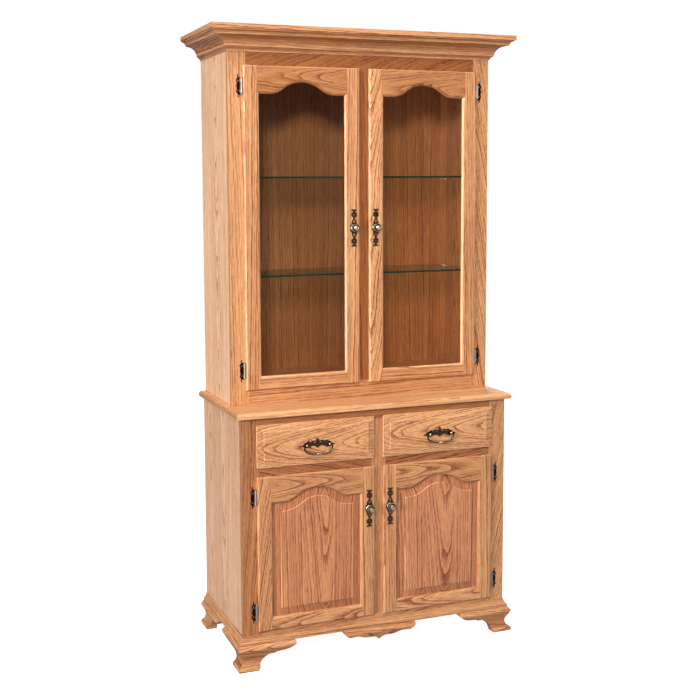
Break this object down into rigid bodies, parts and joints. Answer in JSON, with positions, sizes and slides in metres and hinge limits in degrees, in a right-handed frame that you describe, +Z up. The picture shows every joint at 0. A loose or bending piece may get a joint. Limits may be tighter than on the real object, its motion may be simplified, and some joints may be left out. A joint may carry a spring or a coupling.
{
  "type": "china hutch",
  "caption": "Oak china hutch: a glazed display case with arched doors and glass shelves on a base with drawers, raised-panel doors and ogee bracket feet.",
  "frame": {"origin": "on the floor, under the middle of the whole object's box", "axes": "+Z up, -Y towards the doors, +X to the right of someone facing the doors"},
  "size_m": [1.034, 0.4598, 1.981],
  "materials": {
    "oak_face": "honey-stained red oak under a satin lacquer",
    "oak_side": "paler honey-stained red oak under a satin lacquer",
    "oak_top": "honey-stained red oak under a satin lacquer",
    "oak_inside": "honey-stained red oak planks, in shade",
    "oak_box": "clear-lacquered oak",
    "glass": "clear float glass with green edges",
    "antique_brass": "antiqued, brushed on the raised parts",
    "dark_bronze": "darkened in the hollows"
  },
  "bodies": {
    "cabinet": {"hutch_side_left": "oak_side", "hutch_side_right": "oak_side", "hutch_top_board": "oak_inside", "hutch_floor_board": "oak_inside", "hutch_back_panel": "oak_inside", "hutch_face_frame": "oak_face", "crown_moulding": "oak_face", "glass_shelf_lower": "glass", "glass_shelf_upper": "glass", "base_side_left": "oak_side", "base_side_right": "oak_side", "base_floor_board": "oak_box", "base_back_panel": "oak_box", "base_shelf": "oak_box", "base_face_frame": "oak_face", "drawer_deck": "oak_box", "countertop": "oak_top", "base_moulding": "oak_face", "foot_front_left": "oak_face", "foot_front_right": "oak_face", "foot_back_left": "oak_face", "foot_back_right": "oak_face", "apron_pendant": "oak_face", "upper_left_door_bottom_hinge_frame_leaf": "antique_brass", "upper_left_door_top_hinge_frame_leaf": "antique_brass", "upper_right_door_bottom_hinge_frame_leaf": "antique_brass", "upper_right_door_top_hinge_frame_leaf": "antique_brass", "lower_left_door_bottom_hinge_frame_leaf": "antique_brass", "lower_left_door_top_hinge_frame_leaf": "antique_brass", "lower_right_door_bottom_hinge_frame_leaf": "antique_brass", "lower_right_door_top_hinge_frame_leaf": "antique_brass"},
    "upper_left_door": {"upper_left_door_frame": "oak_face", "upper_left_door_glass": "glass", "upper_left_door_knob": "antique_brass", "upper_left_door_bottom_hinge_door_leaf": "antique_brass", "upper_left_door_top_hinge_door_leaf": "antique_brass"},
    "upper_right_door": {"upper_right_door_frame": "oak_face", "upper_right_door_glass": "glass", "upper_right_door_knob": "antique_brass", "upper_right_door_bottom_hinge_door_leaf": "antique_brass", "upper_right_door_top_hinge_door_leaf": "antique_brass"},
    "lower_left_door": {"lower_left_door_frame": "oak_face", "lower_left_door_panel": "oak_face", "lower_left_door_knob": "antique_brass", "lower_left_door_bottom_hinge_door_leaf": "antique_brass", "lower_left_door_top_hinge_door_leaf": "antique_brass"},
    "lower_right_door": {"lower_right_door_frame": "oak_face", "lower_right_door_panel": "oak_face", "lower_right_door_knob": "antique_brass", "lower_right_door_bottom_hinge_door_leaf": "antique_brass", "lower_right_door_top_hinge_door_leaf": "antique_brass"},
    "left_drawer": {"left_drawer_front": "oak_face", "left_drawer_box": "oak_box", "left_drawer_pull_plate": "dark_bronze"},
    "right_drawer": {"right_drawer_front": "oak_face", "right_drawer_box": "oak_box", "right_drawer_pull_plate": "dark_bronze"},
    "left_bail": {"left_drawer_bail": "antique_brass"},
    "right_bail": {"right_drawer_bail": "antique_brass"}
  },
  "joints": [
    {"name": "upper_left_door_swing", "type": "hinge", "parent": "cabinet", "child": "upper_left_door", "pos_m": [-0.407, -0.0822, 1.3609], "axis": [0, 0, -1], "range_deg": [0, 110]},
    {"name": "upper_right_door_swing", "type": "hinge", "parent": "cabinet", "child": "upper_right_door", "pos_m": [0.407, -0.0822, 1.3609], "axis": [0, 0, 1], "range_deg": [0, 110]},
    {"name": "lower_left_door_swing", "type": "hinge", "parent": "cabinet", "child": "lower_left_door", "pos_m": [-0.4128, -0.1982, 0.362], "axis": [0, 0, -1], "range_deg": [0, 110]},
    {"name": "lower_right_door_swing", "type": "hinge", "parent": "cabinet", "child": "lower_right_door", "pos_m": [0.4128, -0.1982, 0.362], "axis": [0, 0, 1], "range_deg": [0, 110]},
    {"name": "left_drawer_slide", "type": "slide", "parent": "cabinet", "child": "left_drawer", "axis": [0, -1, 0], "range_m": [0, 0.3]},
    {"name": "right_drawer_slide", "type": "slide", "parent": "cabinet", "child": "right_drawer", "axis": [0, -1, 0], "range_m": [0, 0.3]},
    {"name": "left_bail_swing", "type": "hinge", "parent": "left_drawer", "child": "left_bail", "pos_m": [-0.2118, -0.2143, 0.6957], "axis": [-1, 0, 0], "range_deg": [0, 90]},
    {"name": "right_bail_swing", "type": "hinge", "parent": "right_drawer", "child": "right_bail", "pos_m": [0.2118, -0.2143, 0.6957], "axis": [-1, 0, 0], "range_deg": [0, 90]}
  ]
}
